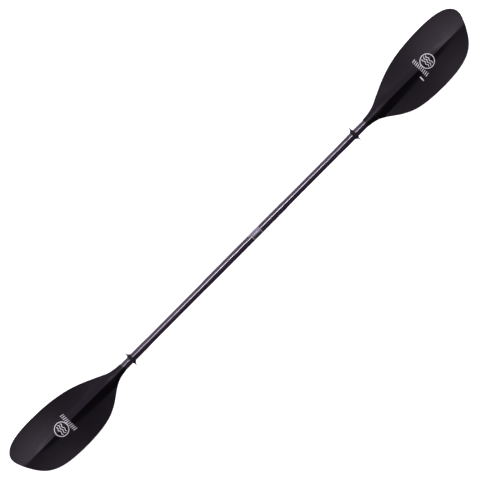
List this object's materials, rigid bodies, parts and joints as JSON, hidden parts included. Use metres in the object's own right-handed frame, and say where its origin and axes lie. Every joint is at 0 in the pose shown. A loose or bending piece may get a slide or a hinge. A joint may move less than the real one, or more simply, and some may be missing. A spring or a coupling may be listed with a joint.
{
  "type": "kayak paddle",
  "caption": "Double-bladed touring kayak paddle with spooned, ridged blades, a take-apart ferrule with adjustable feather, and sliding drip rings.",
  "frame": {"origin": "on the shaft's axis at the middle of the paddle's length", "axes": "+X along the shaft to the right blade, +Y to the long upper edge of both blades, +Z out of the power faces"},
  "size_m": [2.2, 0.2051, 0.0615],
  "materials": {
    "carbon_blade": "satin moulded carbon laminate",
    "carbon_shaft": "satin carbon weave",
    "light_print": "matte print",
    "foam": "closed-cell foam",
    "black_plastic": "moulded",
    "grey_plastic": "moulded",
    "rubber": "matte",
    "steel": "brushed"
  },
  "bodies": {
    "left_half": {"left_blade": "carbon_blade", "left_shaft_tube": "carbon_shaft", "ferrule_liner": "carbon_shaft", "index_mark": "light_print", "left_bulkhead_plug": "foam", "left_socket_plug": "foam"},
    "spigot": {"spigot_tube": "carbon_shaft", "spigot_end_cap": "black_plastic", "spigot_o_ring": "rubber", "spigot_flange": "grey_plastic", "index_hub": "black_plastic", "index_pin": "steel"},
    "snap_button": {"snap_button": "steel"},
    "right_half": {"index_collar": "black_plastic", "scale_label": "light_print", "collar_end_ring": "grey_plastic", "detent_housing": "black_plastic", "detent_spring": "steel", "right_shaft_tube": "carbon_shaft", "right_bulkhead_plug": "foam", "right_socket_plug": "foam", "right_blade": "carbon_blade"},
    "left_ring": {"left_drip_ring": "rubber"},
    "right_ring": {"right_drip_ring": "rubber"}
  },
  "joints": [
    {"name": "ferrule_pull", "type": "slide", "parent": "left_half", "child": "spigot", "axis": [1, 0, 0], "range_m": [0, 0.16], "deforming": ["snap_button"]},
    {"name": "feather_turn", "type": "hinge", "parent": "spigot", "child": "right_half", "pos_m": [0.06, 0, 0], "axis": [1, 0, 0], "range_deg": [-60, 60], "deforming": ["detent_spring"]},
    {"name": "button_press", "type": "slide", "parent": "spigot", "child": "snap_button", "axis": [0, 0, 1], "range_m": [0, 0.004], "stiffness_N_per_m": 700, "springref_m": -0.002, "deforming": ["snap_button"]},
    {"name": "left_ring_slide", "type": "slide", "parent": "left_half", "child": "left_ring", "axis": [1, 0, 0], "range_m": [-0.03, 0.15]},
    {"name": "right_ring_slide", "type": "slide", "parent": "right_half", "child": "right_ring", "axis": [1, 0, 0], "range_m": [-0.15, 0.045]}
  ]
}
